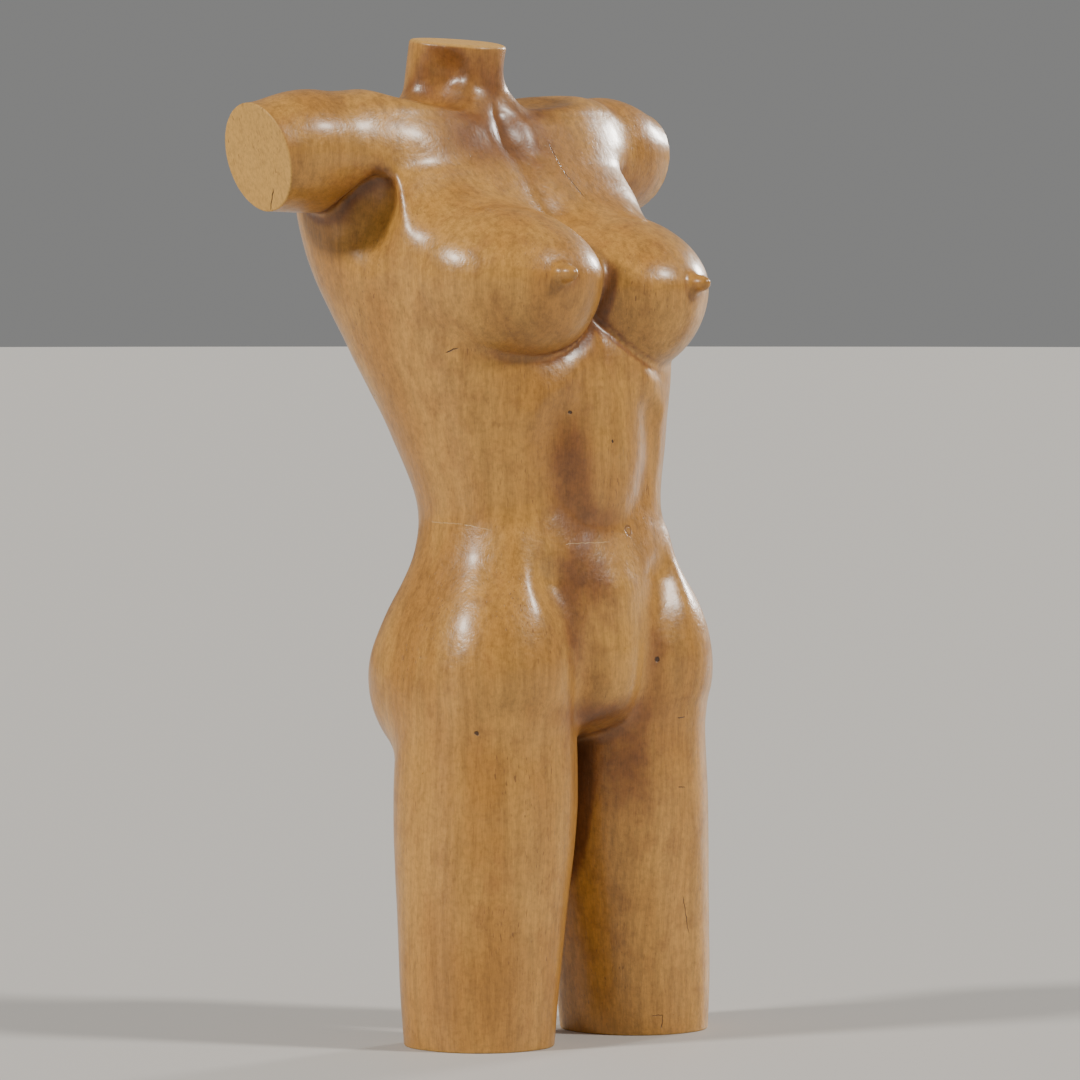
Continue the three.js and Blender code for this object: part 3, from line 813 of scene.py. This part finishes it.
def ring(finish, place, middle, facing, outer, inner):
    """A round mark on a part of the skin that faces that way, measured across that direction:
    one within the inner radius, fading to nothing at the outer one."""
    facing = np.array(facing) / np.linalg.norm(facing)
    reach = finish.vector("SUBTRACT", place, row_place(middle))
    deep = finish.vector("DOT_PRODUCT", reach, tuple(facing))
    gap = finish.vector("DOT_PRODUCT", reach, reach) - deep * deep
    near = finish.smooth(gap, outer**2, inner**2)
    return near * finish.smooth(deep * deep, 0.012**2, 0.009**2)


def spot(finish, place, middle, facing, radius):
    """A pinhole: darkest inside half its radius."""
    return ring(finish, place, middle, facing, radius, radius * 0.5)


# Fine splits from drying: (start, end, the way the skin faces there, width in metres).
CRACKS = (
    ((25, 30, 450), (25, 20, 435), (0, -0.8, 0.6), 0.0007),
    ((25, 20, 435), (30, 10, 420), (0, -0.8, 0.6), 0.0009),
    ((50, -40, 70), (55, -40, 50), (0, -1, 0), 0.0006),
    ((45, -40, 160), (50, -40, 160), (0, -1, 0), 0.0006),
    ((45, -40, 125), (50, -40, 125), (0, -1, 0), 0.0005),
    ((35, -34, 10), (40, -34, 10), (0, -1, 0), 0.0005),
    ((40, -34, 10), (40, -34, 4), (0, -1, 0), 0.0005),
    ((-127, 75, 415), (-127, 70, 425), (-1, 0, 0), 0.0011),
    ((-75, 0, 345), (-75, -5, 347), (-0.9, -0.4, 0), 0.0009),
)
HAIRLINES = (
    ((-65, 25, 260), (-65, 0, 260), (-1, 0, 0), 0.0007),
    ((-65, 0, 260), (-60, -15, 257), (-0.9, -0.4, 0), 0.0007),
    ((-30, -35, 250), (0, -37, 250), (0, -1, 0), 0.0007),
)

# Pinholes: (middle, the way the skin faces there, radius in metres).
PINHOLES = (
    ((-80, -24, 158), (-0.7, -0.7, 0), 0.0014),
    ((-25, -35, 315), (0, -1, 0), 0.0011),
    ((0, -37, 300), (0, -1, 0), 0.0010),
    ((30, -41, 190), (0, -1, 0), 0.0016),
)
PIN_KNOT = ((15, -36, 255), (0, -1, 0))

HONEY = (0.50, 0.228, 0.044, 1)
STRAW = (0.64, 0.325, 0.072, 1)
RUSSET = (0.26, 0.088, 0.022, 1)
UMBER = (0.095, 0.031, 0.011, 1)
BARE_WOOD = (0.70, 0.40, 0.10, 1)
FLECK = (0.15, 0.062, 0.020, 1)
SPLIT = (0.035, 0.014, 0.006, 1)
PALE_SCAR = (0.80, 0.56, 0.28, 1)


def oiled_wood(finish, place, swayed):
    """The wood's colour: noise stretched along z makes the streaks and fibres of grain that runs up the block,
    unstretched noise clouds the old finish, the hollows and the listed places are darkened, partly with stain
    and partly with painted shade and painted shadow, the ridges are lighter where the stain has worn off, and
    short dark pores lie along the grain."""
    clouds = finish.noise(finish.stretched(swayed, (1, 1, 0.55)), 17.0, 3.0, 0.6)
    bands = finish.noise(finish.stretched(swayed, (1, 1, 0.12)), 48.0, 2.0, 0.5)
    streaks = finish.noise(finish.stretched(swayed, (1, 1, 0.07)), 260.0, 3.0, 0.6)
    fibres = finish.noise(finish.stretched(place, (1, 1, 0.11)), 1500.0, 2.0, 0.6)
    mottle = finish.noise(place, 80.0, 4.0, 0.62)
    dapple = finish.noise(place, 380.0, 3.0, 0.65)
    hollow, ridge = finish.measure("hollow"), finish.measure("ridge")
    stain_and_shade, end_face = finish.measure("stain_and_shade"), finish.measure("end_face")
    side = 1 - end_face

    colour = finish.mix(finish.smooth(clouds + (bands - 0.5) * 0.5, 0.34, 0.66), HONEY, STRAW)
    colour = finish.mix(finish.smooth(mottle + (clouds - 0.5) * 0.6, 0.5, 0.74) * 0.30, colour, RUSSET)
    # Darker in the hollows and at the listed places: stain, and painted shade and painted shadow.
    hollow_stain_and_shade = finish.smooth(hollow + (mottle - 0.5) * 0.22, 0.10, 0.55) * 0.8
    stain_and_shade_patches = stain_and_shade * (1.0 + (mottle - 0.5) * 1.3 + (streaks - 0.5) * 0.8)
    dark = hollow_stain_and_shade + stain_and_shade_patches - hollow_stain_and_shade * stain_and_shade_patches * 0.6
    colour = finish.mix(finish.smooth(dark, 0.02, 0.75) * 0.8 * side, colour, RUSSET)
    colour = finish.mix(finish.smooth(dark, 0.5, 1.2) * 0.65 * side, colour, UMBER)
    colour = finish.mix(finish.smooth(ridge, 0.12, 0.45) * 0.3 * side, colour, STRAW)
    colour = finish.mix(end_face * 0.8, colour, BARE_WOOD)
    colour = finish.tint(0.17 * side + 0.05, colour, finish.grey(finish.smooth(streaks, 0.32, 0.62)))
    colour = finish.tint(0.15, colour, finish.grey(finish.smooth(fibres, 0.3, 0.66)))
    colour = finish.tint(0.20, colour, finish.grey(finish.smooth(dapple, 0.28, 0.6)))

    pores = finish.noise(finish.stretched(swayed, (1, 1, 0.2)), 950.0, 1.0, 0.5)
    patches = finish.smooth(finish.noise(place, 26.0, 2.0, 0.5), 0.45, 0.68)
    pores = finish.smooth(pores, 0.66, 0.74) * (0.20 + patches * 0.75)
    colour = finish.mix(pores * 0.7, colour, FLECK)
    return colour, streaks, fibres, mottle, dapple, pores, end_face, dark


def finish_wood(piece):
    """The oiled wood with its marks, its sheen and its fine relief, put on the piece."""
    finish = Finish("oiled_wood")
    place = finish.place()
    drift = finish.node("ShaderNodeTexNoise", {}, {"Vector": place, "Scale": 7.0, "Detail": 1.0}, "Color")
    drift = finish.vector("SUBTRACT", drift, (0.5, 0.5, 0.5))
    swayed = finish.vector("ADD", place, finish.vector("MULTIPLY", drift, (0.02, 0.02, 0.02)))
    colour, streaks, fibres, mottle, dapple, pores, end_face, dark = oiled_wood(finish, place, swayed)

    jitter = finish.node("ShaderNodeTexNoise", {}, {"Vector": place, "Scale": 260.0, "Detail": 2.0}, "Color")
    jitter = finish.vector("SUBTRACT", jitter, (0.5, 0.5, 0.5))
    ragged = finish.vector("ADD", place, finish.vector("MULTIPLY", jitter, (0.0016, 0.0016, 0.0016)))
    cracks = sum(crack(finish, ragged, *line) for line in CRACKS)
    scars = sum(crack(finish, ragged, *line) for line in HAIRLINES)
    holes = sum(spot(finish, ragged, *hole) for hole in PINHOLES)
    knot = ring(finish, ragged, *PIN_KNOT, 0.0030, 0.0024)
    knot = knot * (1 - ring(finish, ragged, *PIN_KNOT, 0.0019, 0.0012))
    colour = finish.mix(scars * 0.3, colour, PALE_SCAR)
    colour = finish.mix(knot * 0.6, colour, FLECK)
    colour = finish.mix(cracks * 0.9, colour, SPLIT)
    colour = finish.mix(holes * 0.9, colour, SPLIT)

    relief = (
        mottle * 1.5 + dapple * 0.30 + streaks * 0.22 + fibres * 0.07
        - pores * 0.20 - cracks * 1.6 - holes * 2.2 - knot * 0.4 - scars * 0.2
    )
    bump = finish.node(
        "ShaderNodeBump", {}, {"Strength": 0.55, "Distance": 0.0007, "Height": relief}, "Normal"
    )
    worn = 0.36 + (mottle - 0.5) * 0.25 + (dapple - 0.5) * 0.2 + dark * 0.04 + end_face * 0.2
    shader = finish.node("ShaderNodeBsdfPrincipled", {}, {
        "Base Color": colour,
        "Roughness": worn,
        "Normal": bump,
        "IOR": 1.48,
        "Coat Weight": 0.28 - end_face * 0.24,
        "Coat Roughness": 0.20,
        "Coat IOR": 1.45,
    })
    finish.node("ShaderNodeOutputMaterial", {}, {"Surface": shader})
    piece.data.materials.append(finish.material)


def plain_finish(name, colour, roughness):
    """One even colour, for the studio floor."""
    finish = Finish(name)
    inputs = {"Base Color": colour, "Roughness": roughness}
    finish.node("ShaderNodeOutputMaterial", {}, {"Surface": finish.node("ShaderNodeBsdfPrincipled", {}, inputs)})
    return finish.material


# ---- The studio ----


def lay_floor():
    """A round pale floor under the carving: a disc of 96 corners."""
    turn = np.linspace(0, 2 * math.pi, 96, endpoint=False)
    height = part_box("torso")[0].z
    rim = np.stack([14 * np.cos(turn), 14 * np.sin(turn), np.full(96, height)], axis=1)
    mesh = bpy.data.meshes.new("studio_floor")
    mesh.from_pydata(rim.tolist(), [], [list(range(96))])
    floor = bpy.data.objects.new("studio_floor", mesh)
    bpy.context.scene.collection.objects.link(floor)
    mesh.materials.append(plain_finish("studio_floor", (0.56, 0.55, 0.53, 1), 0.6))


def hang_light(name, right, up, towards, strength, colour):
    """A broad, far light. Its direction is given as seen by the camera: to the right, up, and
    towards the camera."""
    light = bpy.data.lights.new(name, "SUN")
    light.energy, light.color, light.angle = strength, colour, math.radians(9)
    lamp = bpy.data.objects.new(name, light)
    turn = math.radians(45)
    across = Vector((math.cos(turn), -math.sin(turn), 0))
    nearer = Vector((-math.sin(turn), -math.cos(turn), 0))
    source = across * right + nearer * towards + Vector((0, 0, up))
    lamp.rotation_euler = (-source).to_track_quat("-Z", "Y").to_euler()
    bpy.context.scene.collection.objects.link(lamp)


def set_studio():
    """Soft light from above on both sides of the front, a rim light behind, and a pale room."""
    hang_light("key_light", -0.75, 0.55, 0.42, 2.6, (1, 0.95, 0.88))
    hang_light("second_light", 0.72, 0.62, 0.25, 2.4, (1, 0.95, 0.88))
    hang_light("rim_light", 0.60, 0.28, -0.80, 1.8, (1, 0.97, 0.93))
    world = bpy.data.worlds.new("pale_room")
    world.use_nodes = True
    backdrop = world.node_tree.nodes["Background"]
    backdrop.inputs["Color"].default_value = (0.80, 0.80, 0.79, 1)
    backdrop.inputs["Strength"].default_value = 0.28
    bpy.context.scene.world = world


def set_camera(aim):
    """Looks from the figure's front right, a little above its middle, with a long lens."""
    camera = bpy.data.cameras.new("camera")
    camera.lens, camera.sensor_width = 255.3, 36
    camera.clip_start, camera.clip_end = 0.1, 60
    view = bpy.data.objects.new("camera", camera)
    distance, rise = 3.83, 0.1915
    across = distance * math.sin(math.radians(45))
    view.location = Vector(aim) + Vector((-across, -across, rise))
    view.rotation_euler = (Vector(aim) - view.location).to_track_quat("-Z", "Y").to_euler()
    bpy.context.scene.collection.objects.link(view)
    bpy.context.scene.camera = view


low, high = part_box("torso")
centre = (low + high) / 2
aim = centre + Vector((-0.0060, -0.0275, -0.0012))
set_camera(aim)

torso = carve_torso()
finish_wood(torso)
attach(torso, "root")
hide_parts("torso")

lay_floor()
set_studio()
